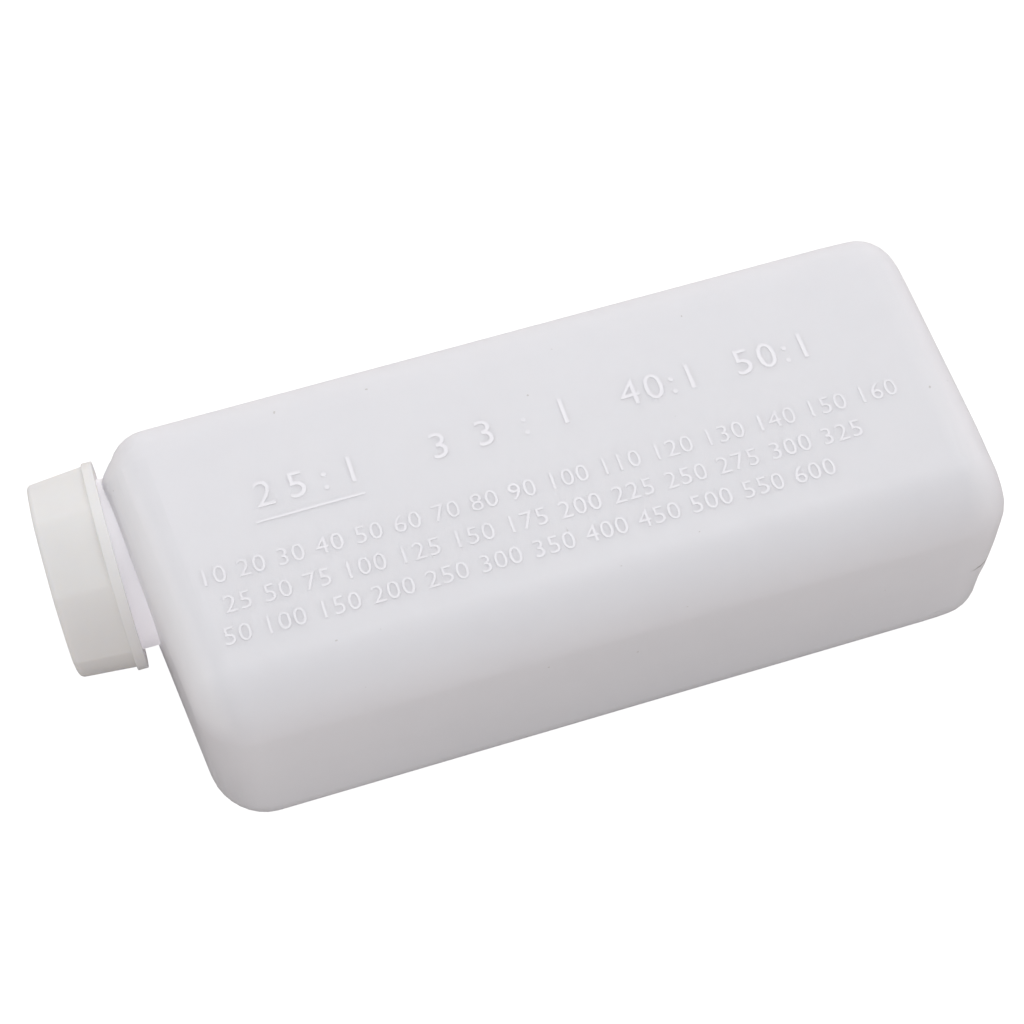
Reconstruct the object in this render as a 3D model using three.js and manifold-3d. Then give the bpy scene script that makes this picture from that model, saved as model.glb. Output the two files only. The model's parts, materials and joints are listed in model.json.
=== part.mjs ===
// Fuel mixing bottle: a blow-moulded canister lying on one broad side, with a
// sloped shoulder, an offset neck and an eight-sided screw cap over a sealing disc.
// Millimetres. +X points to the base end, -X to the cap, +Z up from the lying face.

import * as THREE from 'three';
import { mergeVertices } from 'three/addons/utils/BufferGeometryUtils.js';
import Module from 'manifold-3d';

const wasm = await Module();
wasm.setup();

// Body of the canister
const BODY_LENGTH = 205;
const BODY_WIDTH = 90;
const BODY_DEPTH = 64;
const BODY_WALL = 1.4;
const LONG_EDGE_RADIUS = 14.5;
const SHOULDER_FILLET = 11.8;
const BASE_FILLET = 9.5;
const SHOULDER_SLOPE = 5.86; // degrees, the far side reaches further towards the cap

// Push-up panel of the base and the notch that the parting line leaves across its rim
const BASE_RIM_WIDTH = 3.5;
const BASE_RECESS_DEPTH = 3;
const BASE_RECESS_FILLET = 2;
const BASE_RECESS_CORNER = 5;
const NOTCH_WIDTH = 3.4;
const NOTCH_DEPTH = 1.7;

// Neck, on the parting plane and offset towards the far side
const NECK_OFFSET = 22.5;
const COLLAR_RADIUS = 22;
const COLLAR_HEIGHT = 3.7;
const COLLAR_THICKNESS = 2;
const COLLAR_ROUND = 0.8;
const NECK_RADIUS = 19.4;
const NECK_HEIGHT = 11.7;
const NECK_WALL = 2.2;
const LIP_ROUND = 0.7;

// Sealing disc between the mouth and the cap
const DISC_THICKNESS = 1.2;
const DISC_SIDE_CLEARANCE = 0.4;

// Cap: a round skirt band, then eight tapering facets
const CAP_TOP_THICKNESS = 2;
const CAP_SKIRT_RADIUS = 27;
const CAP_SKIRT_HEIGHT = 2.7;
const CAP_SKIRT_ROUND = 0.5;
const CAP_COLLAR_OVERLAP = 1.5;
const CAP_COLLAR_CLEARANCE = 1.4;
const CAP_THREAD_ROOM = 1.6;
const CAP_FACETS = 8;
const CAP_FACET_SPAN = 26.7; // centre to facet corner, at the skirt
const CAP_FACET_TAPER = 1.3; // how much nearer the corners are at the closed end
const CAP_CORNER_RADIUS = 1.6;
const CAP_EDGE_ROUND = 1.3;
const CAP_CORNER_ANGLE = 40; // degrees from +Z towards -Y, to one facet corner

// The gap kept between separate pieces
const CLEARANCE = 0.3;

const ARC_STEPS = 6;
const FILLET_STEPS = 8;
const ROUND_STEPS = 72;

// Places that follow from the sizes
const slope = Math.tan(THREE.MathUtils.degToRad(SHOULDER_SLOPE));
const shoulderX = (y) => -BODY_LENGTH / 2 - slope * y;
const baseX = BODY_LENGTH / 2;
const axisZ = BODY_DEPTH / 2;
const shoulderFillet = Math.min(SHOULDER_FILLET, LONG_EDGE_RADIUS - BODY_WALL);
const baseFillet = Math.min(BASE_FILLET, LONG_EDGE_RADIUS - BODY_WALL);
const collarX = shoulderX(NECK_OFFSET) - COLLAR_HEIGHT;
const neckRootX = shoulderX(BODY_WIDTH / 2) + shoulderFillet + BODY_WALL;
const mouthX = collarX - NECK_HEIGHT;
const discNearX = mouthX - CLEARANCE;
const discFarX = discNearX - DISC_THICKNESS;
const capInsideX = discFarX - CLEARANCE;
const capEndX = capInsideX - CAP_TOP_THICKNESS;
const capRimX = collarX + CAP_COLLAR_OVERLAP;
const boreRadius = NECK_RADIUS - NECK_WALL;
const capBoreRadius = NECK_RADIUS + CAP_THREAD_ROOM;
const skirtBoreRadius = COLLAR_RADIUS + CAP_COLLAR_CLEARANCE;

/** Turns geometry with outward or inward faces into a solid for cutting and joining. */
function solid(geometry) {
  const bare = geometry.index ? geometry.toNonIndexed() : geometry.clone();
  bare.deleteAttribute('normal');
  bare.deleteAttribute('uv');
  const merged = mergeVertices(bare, 1e-4);
  const position = merged.attributes.position;
  const corner = (i) => new THREE.Vector3().fromBufferAttribute(position, i);
  const triangles = [];
  let volume = 0;
  for (let i = 0; i < merged.index.count; i += 3) {
    const [a, b, c] = [0, 1, 2].map((k) => merged.index.getX(i + k));
    if (a === b || b === c || c === a) continue;
    triangles.push([a, b, c]);
    volume += corner(a).dot(corner(b).cross(corner(c)));
  }
  const ordered = volume < 0 ? triangles.map(([a, b, c]) => [a, c, b]) : triangles;
  return new wasm.Manifold(new wasm.Mesh({
    numProp: 3,
    vertProperties: Float32Array.from(position.array),
    triVerts: Uint32Array.from(ordered.flat()),
  }));
}

/** Gives the surface of a solid back as geometry. */
function surface(body) {
  const mesh = body.getMesh();
  const geometry = new THREE.BufferGeometry();
  geometry.setAttribute('position', new THREE.BufferAttribute(mesh.vertProperties, 3));
  geometry.setIndex(new THREE.BufferAttribute(mesh.triVerts, 1));
  geometry.computeVertexNormals();
  return geometry;
}

/** Extrudes a section drawn in Y and Z along X, from one x to another, with rounded ends. */
function alongX(section, fromX, toX, endRound) {
  const geometry = new THREE.ExtrudeGeometry(section, {
    depth: toX - fromX - 2 * endRound,
    curveSegments: ARC_STEPS,
    bevelEnabled: endRound > 0,
    bevelThickness: endRound,
    bevelSize: endRound,
    bevelOffset: -endRound,
    bevelSegments: FILLET_STEPS,
  });
  geometry.applyMatrix4(new THREE.Matrix4().makeBasis(
    new THREE.Vector3(0, 1, 0), new THREE.Vector3(0, 0, 1), new THREE.Vector3(1, 0, 0)));
  return geometry.translate(fromX + endRound, 0, 0);
}

/** Revolves a profile of [radius, x] pairs about the neck's axis. */
function aboutNeck(profile) {
  const points = profile.map(([radius, x]) => new THREE.Vector2(radius, x));
  const geometry = new THREE.LatheGeometry(points, ROUND_STEPS);
  geometry.applyMatrix4(new THREE.Matrix4().makeBasis(
    new THREE.Vector3(0, 1, 0), new THREE.Vector3(1, 0, 0), new THREE.Vector3(0, 0, -1)));
  return geometry.translate(0, NECK_OFFSET, axisZ);
}

/** Points of a rounded profile corner, turning from one side to the other. */
function roundCorner(radius, x, round, radiusSide, xSide) {
  return [0, 1, 2, 3, 4].map((k) => {
    const angle = (k / 4) * (Math.PI / 2);
    return [
      radius + radiusSide * round * (1 - Math.cos(angle)),
      x + xSide * round * (1 - Math.sin(angle)),
    ];
  });
}

function roundedRectangle(width, depth, radius) {
  const shape = new THREE.Shape();
  const y = width / 2 - radius;
  const z = depth / 2 - radius;
  shape.absarc(y, z, radius, 0, Math.PI / 2);
  shape.absarc(-y, z, radius, Math.PI / 2, Math.PI);
  shape.absarc(-y, -z, radius, Math.PI, 1.5 * Math.PI);
  shape.absarc(y, -z, radius, 1.5 * Math.PI, 2 * Math.PI);
  shape.closePath();
  return shape;
}

function roundedPolygon(sides, span, radius, startAngle) {
  const shape = new THREE.Shape();
  const half = Math.PI / sides;
  const reach = span - radius / Math.cos(half);
  for (let k = 0; k < sides; k += 1) {
    const angle = startAngle + 2 * half * k;
    shape.absarc(reach * Math.cos(angle), reach * Math.sin(angle), radius, angle - half, angle + half);
  }
  shape.closePath();
  return shape;
}

/** The canister's rounded box with its sloped shoulder, drawn in by an inset on every side. */
function canister(inset) {
  const section = roundedRectangle(
    BODY_WIDTH - 2 * inset, BODY_DEPTH - 2 * inset, LONG_EDGE_RADIUS - inset);
  const neckRound = shoulderFillet - inset;
  const baseRound = baseFillet - inset;
  const neckEnd = -BODY_LENGTH / 2 + inset;
  const baseEnd = baseX - inset;
  const shouldered = alongX(section, neckEnd, baseEnd + 3 * neckRound, neckRound);
  const position = shouldered.attributes.position;
  for (let i = 0; i < position.count; i += 1) {
    if (position.getX(i) < neckEnd + neckRound + 0.01) {
      position.setX(i, position.getX(i) - slope * position.getY(i));
    }
  }
  const based = alongX(section, shoulderX(BODY_WIDTH) - 3 * baseRound, baseEnd, baseRound);
  return solid(shouldered.translate(0, 0, axisZ)).intersect(solid(based.translate(0, 0, axisZ)));
}

/** What the push-up panel and the parting notch take from the base, grown by a wall inside. */
function baseHollow(growth) {
  const rim = baseFillet + BASE_RIM_WIDTH - growth;
  const panel = alongX(
    roundedRectangle(BODY_WIDTH - 2 * rim, BODY_DEPTH - 2 * rim, BASE_RECESS_CORNER + growth),
    baseX - BASE_RECESS_DEPTH - growth, baseX + BASE_FILLET, BASE_RECESS_FILLET);
  const notch = new THREE.Shape([
    new THREE.Vector2(-NOTCH_DEPTH - growth, 0),
    new THREE.Vector2(BASE_FILLET, -NOTCH_WIDTH / 2 * (1 + BASE_FILLET / NOTCH_DEPTH) - growth),
    new THREE.Vector2(BASE_FILLET, NOTCH_WIDTH / 2 * (1 + BASE_FILLET / NOTCH_DEPTH) + growth),
  ]);
  const groove = new THREE.ExtrudeGeometry(notch, { depth: 2 * BODY_WIDTH, bevelEnabled: false })
    .rotateX(Math.PI / 2)
    .translate(baseX, BODY_WIDTH, axisZ);
  return solid(panel.translate(0, 0, axisZ)).add(solid(groove));
}

/** Outside of the neck: the collar, rooted in the shoulder, and the tube up to the lip. */
function neckOutside() {
  return solid(aboutNeck([
    [0, neckRootX],
    [COLLAR_RADIUS, neckRootX],
    ...roundCorner(COLLAR_RADIUS, collarX, COLLAR_ROUND, -1, 1),
    [NECK_RADIUS, collarX],
    ...roundCorner(NECK_RADIUS, mouthX, LIP_ROUND, -1, 1),
    [0, mouthX],
  ]));
}

/** Inside of the neck: the wide root below the collar and the straight bore above it. */
function neckInside() {
  const rootRadius = COLLAR_RADIUS - BODY_WALL;
  const stepX = collarX + COLLAR_THICKNESS;
  return solid(aboutNeck([
    [0, neckRootX],
    [rootRadius, neckRootX],
    [rootRadius, stepX + (rootRadius - boreRadius) / 2],
    [boreRadius, stepX],
    [boreRadius, mouthX - NECK_WALL],
    [0, mouthX - NECK_WALL],
  ]));
}

function bottleShape() {
  const outside = canister(0).subtract(baseHollow(0)).add(neckOutside());
  const inside = canister(BODY_WALL).subtract(baseHollow(BODY_WALL)).add(neckInside());
  return surface(outside.subtract(inside));
}

function capShape() {
  const facetStartX = capRimX - CAP_SKIRT_HEIGHT / 2;
  const facets = alongX(
    roundedPolygon(CAP_FACETS, CAP_FACET_SPAN, CAP_CORNER_RADIUS,
      THREE.MathUtils.degToRad(90 + CAP_CORNER_ANGLE)),
    capEndX, facetStartX + CAP_EDGE_ROUND, CAP_EDGE_ROUND);
  const position = facets.attributes.position;
  for (let i = 0; i < position.count; i += 1) {
    const rise = (facetStartX - position.getX(i)) / (facetStartX - capEndX);
    const shrink = 1 - (CAP_FACET_TAPER / CAP_FACET_SPAN) * Math.max(rise, 0);
    position.setY(i, position.getY(i) * shrink);
    position.setZ(i, position.getZ(i) * shrink);
  }
  const skirt = aboutNeck([
    [0, capRimX],
    ...roundCorner(CAP_SKIRT_RADIUS, capRimX, CAP_SKIRT_ROUND, -1, -1).reverse(),
    ...roundCorner(CAP_SKIRT_RADIUS, capRimX - CAP_SKIRT_HEIGHT, CAP_SKIRT_ROUND, -1, 1),
    [0, capRimX - CAP_SKIRT_HEIGHT],
  ]);
  const stepX = collarX - CLEARANCE - COLLAR_ROUND;
  const hollow = aboutNeck([
    [0, capInsideX],
    [capBoreRadius, capInsideX],
    [capBoreRadius, stepX],
    [skirtBoreRadius, stepX + (skirtBoreRadius - capBoreRadius) / 4],
    [skirtBoreRadius, capRimX + CAP_SKIRT_HEIGHT],
    [0, capRimX + CAP_SKIRT_HEIGHT],
  ]);
  return surface(solid(facets.translate(0, NECK_OFFSET, axisZ)).add(solid(skirt)).subtract(solid(hollow)));
}

function discShape() {
  const radius = capBoreRadius - DISC_SIDE_CLEARANCE;
  return surface(solid(aboutNeck([
    [0, discFarX],
    [radius, discFarX],
    [radius, discNearX],
    [0, discNearX],
  ])));
}

function piece(name, geometry, color, roughness) {
  const material = new THREE.MeshStandardMaterial({ color, roughness, metalness: 0 });
  const mesh = new THREE.Mesh(geometry, material);
  mesh.name = name;
  return mesh;
}

const bottle = new THREE.Group();
bottle.add(piece('bottle', bottleShape(), 0xdedbe0, 0.5));
bottle.add(piece('cap', capShape(), 0xe2e0da, 0.45));
bottle.add(piece('sealing_disc', discShape(), 0xeeeeea, 0.8));

export default bottle;
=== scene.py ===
"""Fuel mixing bottle: a natural polyethylene canister lying on its broad side.

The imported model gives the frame. This script dresses it: a smooth moulded
shell, raised numerals, screw threads, the facetted cap and its sealing disc,
on a pale studio floor. All lengths are in metres.
"""

import json
import logging
import math
from dataclasses import dataclass, field
from enum import Enum
from typing import Any, Iterable, Sequence

import bmesh
import bpy
from mathutils import Matrix, Vector

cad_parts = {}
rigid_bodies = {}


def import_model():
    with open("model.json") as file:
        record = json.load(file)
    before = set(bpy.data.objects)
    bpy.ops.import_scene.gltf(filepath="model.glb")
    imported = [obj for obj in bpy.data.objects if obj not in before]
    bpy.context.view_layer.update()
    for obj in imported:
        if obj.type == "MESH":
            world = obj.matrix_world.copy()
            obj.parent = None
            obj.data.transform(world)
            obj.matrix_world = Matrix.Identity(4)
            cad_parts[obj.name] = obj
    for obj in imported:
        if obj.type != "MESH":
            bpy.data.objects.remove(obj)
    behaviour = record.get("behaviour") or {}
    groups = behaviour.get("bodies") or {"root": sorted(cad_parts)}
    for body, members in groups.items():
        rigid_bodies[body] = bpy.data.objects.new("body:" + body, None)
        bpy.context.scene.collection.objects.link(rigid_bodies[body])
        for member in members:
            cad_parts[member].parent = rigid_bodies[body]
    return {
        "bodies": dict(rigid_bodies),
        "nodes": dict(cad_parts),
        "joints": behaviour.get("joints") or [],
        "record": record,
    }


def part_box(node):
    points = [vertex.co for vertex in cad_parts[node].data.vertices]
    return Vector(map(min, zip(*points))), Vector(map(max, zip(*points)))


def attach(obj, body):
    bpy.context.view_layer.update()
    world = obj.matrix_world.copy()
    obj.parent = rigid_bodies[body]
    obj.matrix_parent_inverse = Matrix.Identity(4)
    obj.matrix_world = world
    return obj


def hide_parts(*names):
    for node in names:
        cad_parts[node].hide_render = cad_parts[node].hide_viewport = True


LOG = logging.getLogger("mixing_bottle")
MM = 0.001
WELD = 0.001 * MM
PUSH_FADE = 5.0 * MM


class Rides(Enum):
    """The body of the model that a piece moves with."""

    BOTTLE = "bottle"
    DISC = "disc"
    CAP = "cap"


class Slot(Enum):
    """The material slot that a piece takes its finish from."""

    BODY = "body_plastic"
    CAP = "cap_plastic"
    LINER = "liner_foam"


class Wire:
    """An output socket of a shader node that can be reckoned with."""

    def __init__(self, finish: "ShaderSheet", socket: bpy.types.NodeSocket) -> None:
        """Keeps the socket and the sheet that it belongs to.

        Args:
            finish: The sheet that new nodes are added to.
            socket: The output socket.
        """
        self.finish = finish
        self.socket = socket

    def math(self, operation: str, *others: Any) -> "Wire":
        """Adds one Math node behind this socket.

        Args:
            operation: The node's operation, such as MULTIPLY.
            others: The second and third values or wires.

        Returns:
            The wire of the result.
        """
        values = {index: value for index, value in enumerate((self, *others))}
        return self.finish.add("ShaderNodeMath", {"operation": operation}, values)

    def __add__(self, other: Any) -> "Wire":
        """This plus other."""
        return self.math("ADD", other)

    def __radd__(self, other: Any) -> "Wire":
        """Other plus this."""
        return self.math("ADD", other)

    def __sub__(self, other: Any) -> "Wire":
        """This less other."""
        return self.math("SUBTRACT", other)

    def __rsub__(self, other: float) -> "Wire":
        """Other less this."""
        return (self * -1.0) + other

    def __mul__(self, other: Any) -> "Wire":
        """This times other."""
        return self.math("MULTIPLY", other)

    def __rmul__(self, other: Any) -> "Wire":
        """Other times this."""
        return self.math("MULTIPLY", other)

    def __abs__(self) -> "Wire":
        """The size of this without its sign."""
        return self.math("ABSOLUTE")

    def with_side(self, other: "Wire") -> "Wire":
        """The length of the diagonal that this and other span at a right angle."""
        return (self.math("POWER", 2.0) + other.math("POWER", 2.0)).math("SQRT")

    def ramp(
        self,
        low: float,
        high: float,
        to_low: float = 0.0,
        to_high: float = 1.0,
        course: str = "SMOOTHSTEP",
    ) -> "Wire":
        """Maps this from one range to another without overshoot.

        Args:
            low: The value that gives to_low.
            high: The value that gives to_high.
            to_low: The result at low.
            to_high: The result at high.
            course: How it runs in between, SMOOTHSTEP or LINEAR.

        Returns:
            The wire of the mapped value.
        """
        return self.finish.add(
            "ShaderNodeMapRange",
            {"interpolation_type": course},
            {0: self, 1: low, 2: high, 3: to_low, 4: to_high},
        )


class ShaderSheet:
    """The node tree of a material or of the world, filled through one method."""

    def __init__(self, owner: bpy.types.Material | bpy.types.World) -> None:
        """Empties the owner's node tree.

        Args:
            owner: The new material or world.
        """
        self.owner = owner
        owner.use_nodes = True
        self.tree = owner.node_tree
        self.tree.nodes.clear()

    def add(self, kind: str, settings: dict[str, Any], sockets: dict[Any, Any], out: Any = 0) -> Wire:
        """Adds a node, sets it up and fills its sockets.

        Args:
            kind: The node's type.
            settings: The node's own settings, set before its sockets.
            sockets: Values or wires by socket name or number.
            out: Name or number of the output that is wanted.

        Returns:
            The wire of that output.
        """
        node = self.tree.nodes.new(kind)
        for key, value in settings.items():
            setattr(node, key, value)
        for key, value in sockets.items():
            if isinstance(value, Wire):
                self.tree.links.new(value.socket, node.inputs[key])
            else:
                node.inputs[key].default_value = value
        return Wire(self, node.outputs[out])

    def place(self) -> Wire:
        """The place on the piece, in metres."""
        return self.add("ShaderNodeTexCoord", {}, {}, "Object")

    def axis(self, place: Wire, name: str) -> Wire:
        """One of the three numbers of a place."""
        return self.add("ShaderNodeSeparateXYZ", {}, {0: place}, name)

    def noise(self, place: Wire, size: float, detail: float = 2.0, rough: float = 0.5) -> Wire:
        """Soft noise whose lumps are about size metres across.

        Args:
            place: The place on the piece.
            size: How large a lump is, in metres.
            detail: How many finer layers are added.
            rough: How strong the finer layers are.

        Returns:
            The wire of the noise, from 0 to 1.
        """
        return self.add(
            "ShaderNodeTexNoise",
            {},
            {"Vector": place, "Scale": 1.0 / size, "Detail": detail, "Roughness": rough},
            "Fac",
        )

    def mix(self, share: Any, first: Any, second: Any) -> Wire:
        """A colour between two others.

        Args:
            share: How much of the second there is.
            first: The first colour or wire.
            second: The second colour or wire.

        Returns:
            The wire of the colour.
        """
        node_sockets = {0: share, 6: first, 7: second}
        return self.add("ShaderNodeMix", {"data_type": "RGBA"}, node_sockets, 2)

    def bump(self, relief: Wire) -> Wire:
        """The normal that a relief in metres gives."""
        return self.add("ShaderNodeBump", {}, {"Strength": 1.0, "Distance": 1.0, "Height": relief})

    def finish(
        self, surface: Wire, output: str = "ShaderNodeOutputMaterial"
    ) -> bpy.types.Material | bpy.types.World:
        """Links the surface to the output.

        Args:
            surface: The shader.
            output: The kind of the output node.

        Returns:
            The finished material or world.
        """
        node = self.tree.nodes.new(output)
        self.tree.links.new(surface.socket, node.inputs["Surface"])
        return self.owner


def opaque(colour: Sequence[float]) -> tuple[float, ...]:
    """A colour with its alpha of one."""
    return (*colour, 1.0)


@dataclass(frozen=True)
class NaturalPlastic:
    """Unpigmented polyethylene: milky, a little see-through, finely grained by the mould.

    The neck's emission and paler colour are painted light, standing in for light that its thin wall
    carries, and the paler bands are painted highlights for the glow along the fillets. None of them is
    a lamp or paint on the real object.
    """

    name: str
    colour: tuple[float, float, float]
    shade: tuple[float, float, float]
    scatter: float
    scatter_depth: tuple[float, float, float]
    roughness: float
    grain: float
    grain_size: float
    waviness: float
    roughness_spread: float = 0.06
    seam_height: float | None = None
    seam: float = 0.0
    neck_light_end: float | None = None
    neck_light_axis: tuple[float, float] = (0.0225, 0.032)
    neck_light_radius: float = 0.0222
    # Paler neck colour: painted light that lifts the shade in the gap under the cap.
    neck_painted_light_colour: tuple[float, float, float] = (0.93, 0.915, 0.94)
    carried_light: tuple[float, float, float] = (0.23, 0.217, 0.235)
    groove: tuple[float, float] | None = None
    groove_darker_colour: tuple[float, float, float] = (0.30, 0.28, 0.27)
    groove_share: float = 0.75
    # Painted highlights: paler bands along the shoulder and base fillets.
    highlight_bands: tuple[tuple[float, float, float, float], ...] = ()
    highlight_colour: tuple[float, float, float] = (0.99, 0.965, 0.985)
    highlight_low: float = 0.052
    dust_colour: tuple[float, float, float] = (0.42, 0.38, 0.34)
    dust_size: float = 0.0014
    dust_share: float = 0.4

    def make(self) -> bpy.types.Material:
        """Builds the material.

        Returns:
            The finished material.
        """
        sheet = ShaderSheet(bpy.data.materials.new(self.name))
        place = sheet.place()
        clouds = sheet.noise(place, 0.045, 3.0)
        blotches = sheet.noise(place, 0.012, 4.0, 0.6)
        share = clouds.ramp(0.3, 0.7) * 0.6 + blotches.ramp(0.35, 0.75) * 0.4
        colour = sheet.mix(share, opaque(self.colour), opaque(self.shade))
        sockets: dict[str, Any] = {}
        if self.neck_light_end is not None:
            # Painted light on the neck: a paler colour and a glow by emission, stronger lower down. It
            # lifts the shade in the gap between cap and shoulder and stands in for light that the thin
            # wall carries.
            neck = self.neck(sheet, place)
            colour = sheet.mix(neck, colour, opaque(self.neck_painted_light_colour))
            depth = sheet.axis(place, "Z").ramp(0.034, 0.058, 1.0, 0.6)
            carried = sheet.mix(neck * depth, opaque((0.0, 0.0, 0.0)), opaque(self.carried_light))
            sockets = {"Emission Color": carried, "Emission Strength": 1.0}
        colour = self.marks_and_painted_highlights(sheet, place, colour)
        grain = sheet.noise(place, self.grain_size, 3.0, 0.6)
        low, high = self.roughness - self.roughness_spread, self.roughness + self.roughness_spread
        sockets |= {
            "Base Color": colour,
            "Roughness": grain.ramp(0.2, 0.8, low, high),
            "IOR": 1.5,
            "Normal": sheet.bump(self.relief(sheet, place, grain)),
            "Subsurface Weight": self.scatter,
            "Subsurface Radius": self.scatter_depth,
            "Subsurface Scale": 1.0,
            "Specular IOR Level": 0.45,
        }
        return sheet.finish(sheet.add("ShaderNodeBsdfPrincipled", {}, sockets))

    def neck(self, sheet: ShaderSheet, place: Wire) -> Wire:
        """Where the neck is, which gets the painted light: a paler colour and a glow.

        Args:
            sheet: The sheet that the nodes go to.
            place: The place on the piece.

        Returns:
            The wire of the share, 1 on the neck and 0 elsewhere.
        """
        aside = sheet.axis(place, "Y") - self.neck_light_axis[0]
        above = sheet.axis(place, "Z") - self.neck_light_axis[1]
        off_axis = aside.with_side(above).ramp(self.neck_light_radius, self.neck_light_radius + 0.0006)
        beyond = sheet.axis(place, "X").ramp(self.neck_light_end - 0.002, self.neck_light_end)
        return (1.0 - beyond) * (1.0 - off_axis)

    def marks_and_painted_highlights(self, sheet: ShaderSheet, place: Wire, colour: Wire) -> Wire:
        """Adds the painted highlight bands, the dust and the darker line along the parting line's
        groove.

        Args:
            sheet: The sheet that the nodes go to.
            place: The place on the piece.
            colour: The colour without the marks and painted highlights.

        Returns:
            The wire of the colour with them.
        """
        # Painted highlights: paler bands along the shoulder and base fillets, strongest on the near
        # side and only near the top face.
        for start, slope, far_share, strength in self.highlight_bands:
            across = sheet.axis(place, "X") - sheet.axis(place, "Y") * slope - start
            line = 1.0 - abs(across).ramp(0.0008, 0.0055)
            near = sheet.axis(place, "Y").ramp(-0.03, 0.03, 1.0, far_share)
            high = sheet.axis(place, "Z").ramp(self.highlight_low, self.highlight_low + 0.006)
            colour = sheet.mix(line * near * high * strength, colour, opaque(self.highlight_colour))
        dust = sheet.noise(place, self.dust_size, 0.0).ramp(0.878, 0.90)
        colour = sheet.mix(dust * self.dust_share, colour, opaque(self.dust_colour))
        # A darker line along the parting line's groove on the base end.
        if self.groove is not None:
            start, height = self.groove
            line = 1.0 - abs(sheet.axis(place, "Z") - height).ramp(0.0003, 0.0006)
            reach = sheet.axis(place, "X").ramp(start, start + 0.003)
            share = line * reach * self.groove_share
            colour = sheet.mix(share, colour, opaque(self.groove_darker_colour))
        return colour

    def relief(self, sheet: ShaderSheet, place: Wire, grain: Wire) -> Wire:
        """The height of the mould's grain, the walls' waves and the seam.

        Args:
            sheet: The sheet that the nodes go to.
            place: The place on the piece.
            grain: The noise of the grain.

        Returns:
            The wire of the height, in metres.
        """
        relief = grain * self.grain + sheet.noise(place, 0.030, 1.0) * self.waviness
        if self.seam_height is not None:
            height = sheet.axis(place, "Z")
            relief = relief + (1.0 - abs(height - self.seam_height).ramp(0.0001, 0.0006)) * self.seam
        return relief


@dataclass(frozen=True)
class LinerFoam:
    """White pressed foam with fine open pores."""

    name: str = "liner_foam"
    colour: tuple[float, float, float] = (0.86, 0.86, 0.83)
    pore: tuple[float, float, float] = (0.62, 0.62, 0.60)
    pore_depth: float = 0.12 * MM

    def make(self) -> bpy.types.Material:
        """Builds the material.

        Returns:
            The finished material.
        """
        sheet = ShaderSheet(bpy.data.materials.new(self.name))
        place = sheet.place()
        pores = sheet.noise(place, 0.0007, 2.0).ramp(0.58, 0.72)
        colour = sheet.mix(pores, opaque(self.colour), opaque(self.pore))
        surface = sheet.add(
            "ShaderNodeBsdfPrincipled",
            {},
            {"Base Color": colour, "Roughness": 0.85, "Normal": sheet.bump(pores * -self.pore_depth)},
        )
        return sheet.finish(surface)


@dataclass(frozen=True)
class StudioFloor:
    """A pale sweep that glows, or a card with a painted contact shadow in its middle."""

    name: str = "studio_floor"
    glow: float = 0.93
    colour: tuple[float, float, float] = (0.3, 0.3, 0.3)
    shaded: tuple[float, float, float] | None = None
    shade_scale: tuple[float, float] = (6.0, 9.0)

    def make(self) -> bpy.types.Material:
        """Builds the material.

        Returns:
            The finished material.
        """
        sheet = ShaderSheet(bpy.data.materials.new(self.name))
        colour: Any = opaque(self.colour)
        # Painted contact shadow: the card darkens towards its middle, under the bottle, so less light
        # bounces onto the bottle's lower front.
        if self.shaded is not None:
            place = sheet.place()
            along = sheet.axis(place, "X") * self.shade_scale[0]
            across = sheet.axis(place, "Y") * self.shade_scale[1]
            away = along.with_side(across).ramp(0.5, 1.3)
            colour = sheet.mix(away, opaque(self.shaded), colour)
        surface = sheet.add(
            "ShaderNodeBsdfPrincipled",
            {},
            {
                "Base Color": colour,
                "Roughness": 0.9,
                "Specular IOR Level": 0.1,
                "Emission Color": opaque((1.0, 1.0, 1.0)),
                "Emission Strength": self.glow,
            },
        )
        return sheet.finish(surface)


@dataclass(frozen=True)
class Push:
    """A smooth local shift of a moulded wall, in millimetres."""

    centre: tuple[float, float, float]
    reach: tuple[float, float, float]
    move: tuple[float, float, float]

    def shift(self, point: Vector) -> Vector:
        """How far the wall moves at a point.

        Args:
            point: The place, in metres.

        Returns:
            The shift, in metres.
        """
        away = [(point[i] / MM - self.centre[i]) / self.reach[i] for i in range(3)]
        share = max(0.0, 1.0 - sum(part * part for part in away))
        return Vector(self.move) * (MM * share * share * (3.0 - 2.0 * share))


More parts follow.
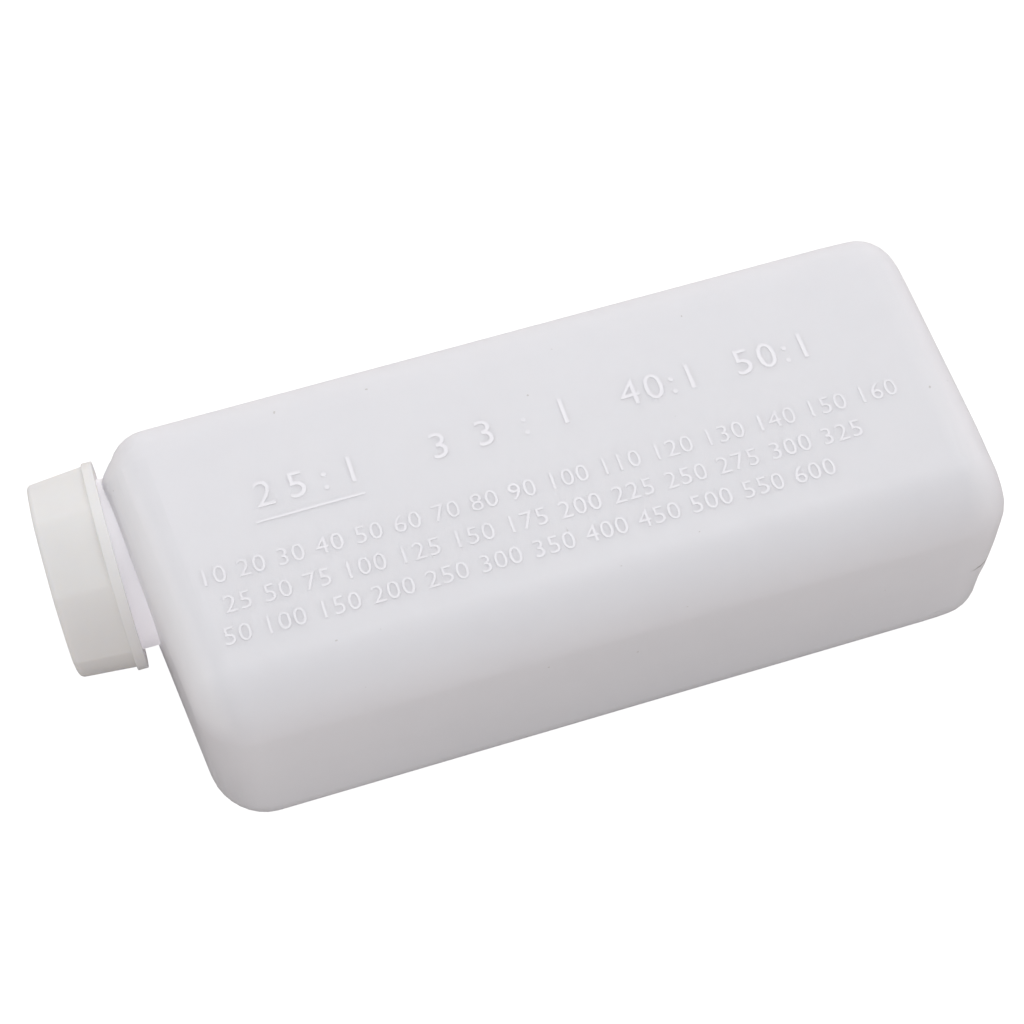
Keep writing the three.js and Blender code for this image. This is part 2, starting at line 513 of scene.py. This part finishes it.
@dataclass
class Workshop:
    """The loaded model and the ways that pieces are added to it."""

    frame: dict[str, Any]
    made: list[str] = field(default_factory=list)

    def settle(
        self,
        piece: bpy.types.Object,
        rides: Rides,
        material: bpy.types.Material,
        stands_for: Sequence[str] = (),
    ) -> bpy.types.Object:
        """Gives a piece its body, slot and finish.

        Args:
            piece: The finished object.
            rides: The body that it moves with.
            material: Its finish.
            stands_for: The nodes of the model that it replaces.

        Returns:
            The same object.
        """
        piece.data.materials.clear()
        piece.data.materials.append(material)
        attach(piece, rides.value)
        if stands_for:
            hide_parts(*stands_for)
        self.made.append(piece.name)
        LOG.info("%s rides on %s, %d faces", piece.name, rides.value, len(piece.data.polygons))
        return piece

    def new_piece(self, name: str, form: bmesh.types.BMesh) -> bpy.types.Object:
        """Turns a bmesh into an object at the origin.

        Args:
            name: The piece's name.
            form: The shape, which is freed.

        Returns:
            The object, linked to the scene.
        """
        mesh = bpy.data.meshes.new(name)
        form.to_mesh(mesh)
        form.free()
        piece = bpy.data.objects.new(name, mesh)
        bpy.context.scene.collection.objects.link(piece)
        return piece

    def moulded_copy(
        self,
        node: str,
        name: str,
        crease: float,
        even: bool = True,
        cuts: Sequence[tuple[int, float]] = (),
        pushes: Sequence[Push] = (),
        keep_clear: float = 0.0,
    ) -> bpy.types.Object:
        """A node's shape with its triangles merged and its curves shaded smoothly.

        Args:
            node: The node of the model.
            name: The new piece's name.
            crease: Edges that turn by more degrees than this stay sharp.
            even: Whether broad faces are shaded as truly flat.
            cuts: Planes that give the walls more corners, as axis number and millimetres.
            pushes: Local shifts that round the form as the mould did.
            keep_clear: How near the neck's axis nothing is shifted, in metres.

        Returns:
            The object, linked to the scene.
        """
        form = bmesh.new()
        form.from_mesh(self.frame["nodes"][node].data)
        bmesh.ops.remove_doubles(form, verts=form.verts, dist=2 * WELD)
        bmesh.ops.dissolve_degenerate(form, dist=WELD, edges=form.edges)
        for axis, place in cuts:
            way = Vector([1.0 if i == axis else 0.0 for i in range(3)])
            everything = [*form.verts, *form.edges, *form.faces]
            on_plane = way * place * MM
            bmesh.ops.bisect_plane(
                form, geom=everything, dist=WELD, plane_co=on_plane, plane_no=way
            )
        centre = neck_axis()
        for vert in form.verts:
            free = 1.0
            if vert.co.x <= 0.0:
                off_axis = math.hypot(vert.co.y - centre.y, vert.co.z - centre.z)
                free = min(1.0, max(0.0, (off_axis - keep_clear) / PUSH_FADE))
            vert.co += sum((push.shift(vert.co) for push in pushes), Vector()) * free
        bmesh.ops.dissolve_limit(
            form, angle_limit=math.radians(0.2), verts=form.verts, edges=form.edges
        )
        shade(form, crease)
        piece = self.new_piece(name, form)
        if even:
            weigh = piece.modifiers.new("even_shading", "WEIGHTED_NORMAL")
            weigh.mode = "FACE_AREA"
            weigh.weight = 60
            weigh.keep_sharp = True
        return piece


def shade(form: bmesh.types.BMesh, crease: float) -> None:
    """Shades faces smoothly and keeps tight edges sharp.

    Args:
        form: The shape.
        crease: Edges that turn by more degrees than this stay sharp.
    """
    for face in form.faces:
        face.smooth = True
    for edge in form.edges:
        edge.smooth = edge.is_manifold and edge.calc_face_angle(0.0) < math.radians(crease)


def neck_axis() -> Vector:
    """A point on the axis that the neck, the disc and the cap share."""
    low, high = (Vector(corner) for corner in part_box("sealing_disc"))
    return (low + high) / 2


@dataclass(frozen=True)
class ScrewThread:
    """A right-handed thread about the neck's axis, on a wall's outside or inside."""

    wall_radius: float
    root: float
    crest: float
    turns: float
    outward: bool
    rise: float = 1.0 * MM
    sink: float = 0.15 * MM
    pitch: float = 4.0 * MM
    steps_per_turn: int = 48

    def ridge(self, start_x: float) -> bmesh.types.BMesh:
        """Winds the thread's section towards the mouth.

        Args:
            start_x: Where the thread starts along the bottle.

        Returns:
            The closed ridge.
        """
        axis = neck_axis()
        sign = 1.0 if self.outward else -1.0
        wall = self.wall_radius - sign * self.sink
        tip = self.wall_radius + sign * self.rise
        corners = (
            (wall, -sign * self.root / 2),
            (wall, sign * self.root / 2),
            (tip, sign * self.crest / 2),
            (tip, -sign * self.crest / 2),
        )
        start = [Vector((start_x + x, axis.y - radius, axis.z)) for radius, x in corners]
        form = bmesh.new()
        section = form.faces.new([form.verts.new(point) for point in start])
        bmesh.ops.spin(
            form,
            geom=[section],
            cent=(start_x, axis.y, axis.z),
            axis=(-1.0, 0.0, 0.0),
            dvec=(-self.pitch / self.steps_per_turn, 0.0, 0.0),
            angle=math.tau * self.turns,
            steps=int(round(self.steps_per_turn * self.turns)),
            use_duplicate=False,
        )
        bmesh.ops.recalc_face_normals(form, faces=form.faces)
        shade(form, 35.0)
        return form


@dataclass
class RaisedNumerals:
    """The moulded numerals on the broad top face: large ratios and three rows of amounts."""

    face_height: float = 64 * MM
    rise: float = 0.09 * MM
    soft_edge: float = 0.07 * MM
    large_rows: tuple[tuple[str, float, float], ...] = (
        ("25:1", -71.5, -47.0),
        ("33:1", -27.5, 6.5),
        ("40:1  50:1", 20.5, 68.5),
    )
    large_base: float = 8.2
    large_height: float = 7.4
    small_rows: tuple[tuple[str, float, float, float], ...] = (
        ("10 20 30 40 50 60 70 80 90 100 110 120 130 140 150 160", -88.5, 85.5, -8.6),
        ("25 50 75 100 125 150 175 200 225 250 275 300 325", -85.5, 73.0, -17.0),
        ("50 100 150 200 250 300 350 400 450 500 550 600", -87.5, 63.0, -25.2),
    )
    small_height: float = 4.8
    underline: tuple[float, float, float] = (-73.0, -46.0, 4.6)
    underline_width: float = 0.7 * MM

    def words(self, text: str, left: float, right: float, base: float, height: float) -> bpy.types.Mesh:
        """One run of numerals, fitted between two ends and laid on the face.

        Args:
            text: The numerals.
            left: Where the run starts along the bottle, in millimetres.
            right: Where it ends.
            base: Its base line across the bottle.
            height: How tall the numerals are.

        Returns:
            The mesh, in place.
        """
        curve = bpy.data.curves.new("numerals", "FONT")
        curve.body = text
        curve.size = 1.0
        curve.resolution_u = 3
        carrier = bpy.data.objects.new("numerals", curve)
        bpy.context.scene.collection.objects.link(carrier)
        bpy.context.view_layer.update()
        scale = height * MM / carrier.dimensions.y
        close = carrier.dimensions.x
        curve.space_character = 1.5
        bpy.context.view_layer.update()
        wide = carrier.dimensions.x
        wanted = (right - left) * MM / scale
        curve.space_character = 1.0 + 0.5 * (wanted - close) / (wide - close)
        bpy.context.view_layer.update()
        low = Vector(carrier.bound_box[0])
        curve.extrude = self.rise
        bpy.context.view_layer.update()
        graph = bpy.context.evaluated_depsgraph_get()
        mesh = bpy.data.meshes.new_from_object(carrier.evaluated_get(graph))
        bpy.data.objects.remove(carrier)
        bpy.data.curves.remove(curve)
        mesh.transform(Matrix.Translation((-low.x, -low.y, 0.0)))
        mesh.transform(Matrix.Diagonal((scale, scale, 1.0, 1.0)))
        mesh.transform(Matrix.Translation((left * MM, base * MM, self.face_height)))
        return mesh

    def build(self, shop: Workshop, material: bpy.types.Material) -> None:
        """Makes all the numerals as one raised piece.

        Args:
            shop: Where the piece is added.
            material: The finish of the numerals, paler than the body's as a painted highlight on their
                strokes.
        """
        form = bmesh.new()
        rows = [(*row, self.large_base, self.large_height) for row in self.large_rows]
        rows += [(*row, self.small_height) for row in self.small_rows]
        for run in [self.words(*row) for row in rows]:
            form.from_mesh(run)
            bpy.data.meshes.remove(run)
        self.rule(form)
        bmesh.ops.remove_doubles(form, verts=form.verts, dist=WELD)
        bmesh.ops.recalc_face_normals(form, faces=form.faces)
        shade(form, 40.0)
        piece = shop.new_piece("raised_numerals", form)
        round_over = piece.modifiers.new("round_over", "BEVEL")
        round_over.width = self.soft_edge
        round_over.segments = 2
        round_over.limit_method = "ANGLE"
        round_over.angle_limit = math.radians(60.0)
        shop.settle(piece, Rides.BOTTLE, material)

    def rule(self, form: bmesh.types.BMesh) -> None:
        """Adds the raised line under the first ratio.

        Args:
            form: The shape that it is added to.
        """
        left, right, base = self.underline
        made = bmesh.ops.create_cube(form, size=1.0)["verts"]
        size = ((right - left) * MM, self.underline_width, 2.0 * self.rise)
        bmesh.ops.scale(form, verts=made, vec=size)
        bmesh.ops.translate(
            form, verts=made, vec=((right + left) / 2 * MM, base * MM, self.face_height)
        )


@dataclass
class Canister:
    """The blow-moulded body with its neck, thread, seam and numerals."""

    mouth_gap: float = 0.3 * MM
    thread_lead_in: float = 9.0 * MM
    screw: ScrewThread = ScrewThread(19.4 * MM, 1.9 * MM, 0.8 * MM, 1.6, outward=True)
    collar_clear: float = 22.2 * MM
    seam_length: float = 52.0 * MM
    seam_rise: float = 0.5 * MM
    seam_width: float = 0.9 * MM
    seam_round: float = 0.35 * MM
    recess_depth: float = 3.0 * MM
    wall_cuts: tuple[tuple[int, float], ...] = (
        *((0, x) for x in (-104.0, -101.0, -97.0, -93.0, -89.0, -85.0, 85.0, 89.0, 93.0, 97.0)),
        *((1, float(y)) for y in range(-42, 45, 6)),
        *((2, float(z)) for z in range(4, 64, 6)),
    )
    mould_pushes: tuple[Push, ...] = (
        Push((-108.0, 42.0, 52.0), (24.0, 15.0, 55.0), (2.3, 0.0, 0.0)),
        Push((-99.0, -46.0, 2.0), (20.0, 20.0, 20.0), (0.5, 0.2, 0.2)),
        Push((103.0, -46.0, 12.0), (16.0, 20.0, 20.0), (-0.9, 0.5, 0.0)),
        Push((103.0, -46.0, 44.0), (14.0, 18.0, 14.0), (0.5, 0.1, 0.0)),
        Push((103.0, -36.0, 63.0), (20.0, 18.0, 10.0), (-0.5, 0.0, 0.0)),
        Push((103.0, 48.0, 50.0), (22.0, 22.0, 60.0), (-0.5, -0.4, 0.0)),
    )

    def build(
        self, shop: Workshop, plastic: bpy.types.Material, numerals: bpy.types.Material
    ) -> None:
        """Makes the body's pieces.

        Args:
            shop: Where the pieces are added.
            plastic: The finish of the body.
            numerals: The finish of the numerals, paler than the body's as a painted highlight on their
                strokes.
        """
        shell = shop.moulded_copy(
            "bottle",
            "canister_shell",
            32.0,
            cuts=self.wall_cuts,
            pushes=self.mould_pushes,
            keep_clear=self.collar_clear,
        )
        shop.settle(shell, Rides.BOTTLE, plastic, ("bottle",))
        shop.settle(self.thread(shop), Rides.BOTTLE, plastic)
        shop.settle(self.base_seam(shop), Rides.BOTTLE, plastic)
        RaisedNumerals().build(shop, numerals)

    def thread(self, shop: Workshop) -> bpy.types.Object:
        """The thread on the neck.

        Args:
            shop: Where the piece is added.

        Returns:
            The ridge.
        """
        start_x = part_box("sealing_disc")[1][0] + self.mouth_gap + self.thread_lead_in
        return shop.new_piece("neck_thread", self.screw.ridge(start_x))

    def base_seam(self, shop: Workshop) -> bpy.types.Object:
        """The pinched seam that the mould leaves across the base panel.

        Args:
            shop: Where the piece is added.

        Returns:
            The ridge.
        """
        panel_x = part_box("bottle")[1][0] - self.recess_depth
        form = bmesh.new()
        made = bmesh.ops.create_cube(form, size=1.0)["verts"]
        bmesh.ops.scale(form, verts=made, vec=(2 * self.seam_rise, self.seam_length, self.seam_width))
        bmesh.ops.translate(form, verts=made, vec=(panel_x, 0.0, neck_axis().z))
        outer = [edge for edge in form.edges if min(v.co.x for v in edge.verts) > panel_x]
        bmesh.ops.bevel(
            form,
            geom=outer,
            offset=self.seam_round,
            segments=3,
            profile=0.5,
            affect="EDGES",
            material=-1,
        )
        shade(form, 40.0)
        return shop.new_piece("base_seam", form)


@dataclass
class ScrewCap:
    """The eight-sided cap with the thread inside it."""

    thread_in: float = 6.3 * MM
    screw: ScrewThread = ScrewThread(21.0 * MM, 1.8 * MM, 0.7 * MM, 1.5, outward=False)
    outside: float = 21.7 * MM
    corner_radius: float = 26.7 * MM
    facet_height: float = 14.3 * MM
    taper: float = 1.3 * MM
    edge_round: float = 1.3 * MM
    fullness: float = 0.98
    roundness: float = 0.6
    slices: int = 36
    skirt_radius: float = 26.8 * MM

    def build(self, shop: Workshop, plastic: bpy.types.Material, foam: bpy.types.Material) -> None:
        """Makes the cap's pieces and dresses the sealing disc.

        Args:
            shop: Where the pieces are added.
            plastic: The finish of the cap.
            foam: The finish of the disc.
        """
        cap = shop.moulded_copy("cap", "screw_cap", 50.0, even=False)
        self.soften(cap)
        shop.settle(cap, Rides.CAP, plastic, ("cap",))
        shop.settle(self.thread(shop), Rides.CAP, plastic)
        disc = shop.moulded_copy("sealing_disc", "sealing_liner", 32.0)
        shop.settle(disc, Rides.DISC, foam, ("sealing_disc",))

    def soften(self, cap: bpy.types.Object) -> None:
        """Rounds the facets and draws in the skirt as the moulding did.

        Args:
            cap: The cap, whose mesh is changed in place.
        """
        axis = neck_axis()
        end_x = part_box("cap")[0][0]
        skirt_x = end_x + self.facet_height
        form = bmesh.new()
        form.from_mesh(cap.data)
        for number in range(self.slices):
            angle = math.pi * number / self.slices
            across = Vector((0.0, math.cos(angle), math.sin(angle)))
            everything = [*form.verts, *form.edges, *form.faces]
            bmesh.ops.bisect_plane(
                form, geom=everything, dist=WELD, plane_co=axis, plane_no=across
            )
        for vert in form.verts:
            spoke = Vector((0.0, vert.co.y - axis.y, vert.co.z - axis.z))
            radius = spoke.length
            wanted = radius
            if radius > self.outside and vert.co.x < skirt_x:
                rise = (skirt_x - vert.co.x) / self.facet_height
                even_radius = self.fullness * (self.corner_radius - self.taper * rise)
                depth = min(1.0, (vert.co.x - end_x) / self.edge_round)
                inset = self.edge_round * (1.0 - math.sqrt(max(0.0, 1.0 - (1.0 - depth) ** 2)))
                wanted = radius + self.roundness * (even_radius - inset - radius)
            elif radius > self.skirt_radius:
                wanted = self.skirt_radius
            if wanted != radius:
                vert.co += spoke * ((wanted - radius) / radius)
        shade(form, 50.0)
        form.to_mesh(cap.data)
        form.free()

    def thread(self, shop: Workshop) -> bpy.types.Object:
        """The thread inside the cap, half a pitch away from the neck's.

        Args:
            shop: Where the piece is added.

        Returns:
            The ridge.
        """
        start_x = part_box("cap")[1][0] - self.thread_in
        return shop.new_piece("cap_thread", self.screw.ridge(start_x))


@dataclass(frozen=True)
class SoftBox:
    """A rectangular lamp with a soft light, aimed at the bottle's middle."""

    name: str
    place: tuple[float, float, float]
    size: tuple[float, float]
    power: float
    tint: tuple[float, float, float] = (1.0, 1.0, 1.0)
    aim: tuple[float, float, float] = (0.0, 0.0, 0.04)

    def hang(self) -> None:
        """Adds the lamp to the scene."""
        data = bpy.data.lights.new(self.name, "AREA")
        data.shape = "RECTANGLE"
        data.size, data.size_y = self.size
        data.energy = self.power
        data.color = self.tint
        lamp = bpy.data.objects.new(self.name, data)
        toward = Vector(self.place) - Vector(self.aim)
        turn = toward.to_track_quat("Z", "Y").to_matrix().to_4x4()
        lamp.matrix_world = Matrix.Translation(self.place) @ turn
        bpy.context.scene.collection.objects.link(lamp)


@dataclass
class Studio:
    """The camera, the light all round, the soft boxes and the floor."""

    camera_place: tuple[float, float, float] = (-0.0921, -0.2836, 0.5475)
    azimuth: float = -15.94
    elevation: float = 59.65
    roll: float = -1.79
    lens: float = 83.12
    sky_low: float = 0.96
    sky_left: float = 0.70
    sky_high: float = 0.59
    sky_rise: tuple[float, float] = (-0.1, 0.9)
    sky_turn: tuple[float, float] = (-1.0, 0.2)
    warm: tuple[float, float, float] = (1.0, 0.965, 0.96)
    cool: tuple[float, float, float] = (0.97, 0.97, 1.0)
    lamps: tuple[SoftBox, ...] = (
        SoftBox("overhead_box", (0.10, 0.30, 0.60), (0.6, 0.4), 1.35),
        SoftBox("side_box", (-0.43, 0.23, 0.34), (0.16, 0.16), 0.25),
        SoftBox("far_box", (0.52, 0.23, 0.22), (0.2, 0.2), 0.14, (1.0, 0.9, 0.94)),
        SoftBox("front_box", (-0.25, -1.0, 0.38), (0.8, 0.4), 0.85),
    )
    floor_height: float = -0.2 * MM
    card_height: float = -0.4 * MM
    card_colour: tuple[float, float, float] = (0.55, 0.505, 0.48)
    # Colour of the card's middle: a painted contact shadow under the bottle.
    card_painted_shadow: tuple[float, float, float] = (0.12, 0.11, 0.105)

    def camera(self) -> None:
        """Sets the camera where the photograph was taken from."""
        az, el, roll = (math.radians(v) for v in (self.azimuth, self.elevation, self.roll))
        back = Vector(
            (math.sin(az) * math.cos(el), -math.cos(az) * math.cos(el), math.sin(el))
        )
        level = Vector((0.0, 0.0, 1.0)).cross(back).normalized()
        rise = back.cross(level)
        right = level * math.cos(roll) + rise * math.sin(roll)
        up = rise * math.cos(roll) - level * math.sin(roll)
        data = bpy.data.cameras.new("camera")
        data.lens = self.lens
        data.sensor_width = 36.0
        data.clip_start = 0.01
        data.clip_end = 50.0
        camera = bpy.data.objects.new("camera", data)
        turn = Matrix((right, up, back)).transposed().to_4x4()
        camera.matrix_world = Matrix.Translation(self.camera_place) @ turn
        bpy.context.scene.collection.objects.link(camera)
        bpy.context.scene.camera = camera

    def air(self) -> None:
        """Adds the even light all round: warm and bright low down, cooler and weaker above."""
        sheet = ShaderSheet(bpy.data.worlds.new("studio_air"))
        aim = sheet.add("ShaderNodeTexCoord", {}, {}, "Generated")
        height = sheet.axis(aim, "Z")
        rise = height.ramp(*self.sky_rise, course="LINEAR")
        tint = sheet.mix(rise, opaque(self.warm), opaque(self.cool))
        level = height.ramp(*self.sky_rise, self.sky_low, self.sky_high, "LINEAR")
        side = sheet.axis(aim, "X").ramp(*self.sky_turn, self.sky_left, 1.0, "LINEAR")
        glow = sheet.add("ShaderNodeBackground", {}, {"Color": tint, "Strength": level * side})
        bpy.context.scene.world = sheet.finish(glow, "ShaderNodeOutputWorld")

    def sheet(self, name: str, height: float, material: bpy.types.Material) -> bpy.types.Object:
        """Lays a large flat sheet under the object.

        Args:
            name: Its name.
            height: How high it lies.
            material: Its finish.

        Returns:
            The sheet.
        """
        form = bmesh.new()
        bmesh.ops.create_grid(form, x_segments=2, y_segments=2, size=3.0)
        bmesh.ops.translate(form, verts=form.verts, vec=(0.0, 0.0, height))
        mesh = bpy.data.meshes.new(name)
        form.to_mesh(mesh)
        form.free()
        mesh.materials.append(material)
        lying = bpy.data.objects.new(name, mesh)
        bpy.context.scene.collection.objects.link(lying)
        return lying

    def floor(self) -> None:
        """Lays the pale floor, and the grey card that tempers the light from below, with a painted
        contact shadow in its middle.
        """
        floor = self.sheet("studio_floor", self.floor_height, StudioFloor().make())
        floor.visible_diffuse = False
        floor.visible_glossy = False
        floor.visible_transmission = False
        floor.visible_shadow = False
        # The grey card, unseen by the camera, carries a painted contact shadow in its middle.
        card_finish = StudioFloor("grey_card", 0.0, self.card_colour, self.card_painted_shadow).make()
        card = self.sheet("grey_card", self.card_height, card_finish)
        card.visible_camera = False
        card.visible_shadow = False

    def build(self) -> None:
        """Sets up the whole studio."""
        self.camera()
        self.air()
        for lamp in self.lamps:
            lamp.hang()
        self.floor()
        view = bpy.context.scene.view_settings
        view.view_transform = "Standard"
        view.look = "None"


def main() -> None:
    """Builds the studio and the bottle and notes the pieces that were made."""
    logging.basicConfig(level=logging.INFO, format="%(name)s: %(message)s")
    shop = Workshop(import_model())
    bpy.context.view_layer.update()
    Studio().build()
    body_plastic = NaturalPlastic(
        name="natural_body_plastic",
        colour=(0.875, 0.865, 0.895),
        shade=(0.855, 0.845, 0.875),
        scatter=0.6,
        scatter_depth=(0.004, 0.0038, 0.0037),
        roughness=0.42,
        grain=0.000012,
        grain_size=0.0006,
        waviness=0.00012,
        seam_height=0.032,
        seam=0.00002,
        neck_light_end=-0.100,
        # Painted highlights along the shoulder and base fillets.
        highlight_bands=((-0.0994, -0.1026, 0.9, 0.7), (0.0955, 0.0, 0.2, 0.35)),
        groove=(0.0935, 0.032),
    ).make()
    numeral_painted_glint_plastic = NaturalPlastic(
        name="raised_numeral_painted_glint_plastic",
        # Paler than the body's colour: a painted highlight on the numerals' strokes.
        colour=(0.905, 0.895, 0.925),
        shade=(0.845, 0.835, 0.865),
        scatter=0.0,
        scatter_depth=(0.004, 0.0038, 0.0037),
        roughness=0.36,
        grain=0.000012,
        grain_size=0.0006,
        waviness=0.00012,
    ).make()
    cap_plastic = NaturalPlastic(
        name="natural_cap_plastic",
        colour=(0.84, 0.835, 0.82),
        shade=(0.82, 0.81, 0.79),
        scatter=0.7,
        scatter_depth=(0.005, 0.0046, 0.004),
        roughness=0.38,
        grain=0.000010,
        grain_size=0.0007,
        waviness=0.00004,
    ).make()
    foam = LinerFoam().make()
    Canister().build(shop, body_plastic, numeral_painted_glint_plastic)
    ScrewCap().build(shop, cap_plastic, foam)
    LOG.info("made %s", ", ".join(shop.made))


if __name__ == "__main__":
    main()
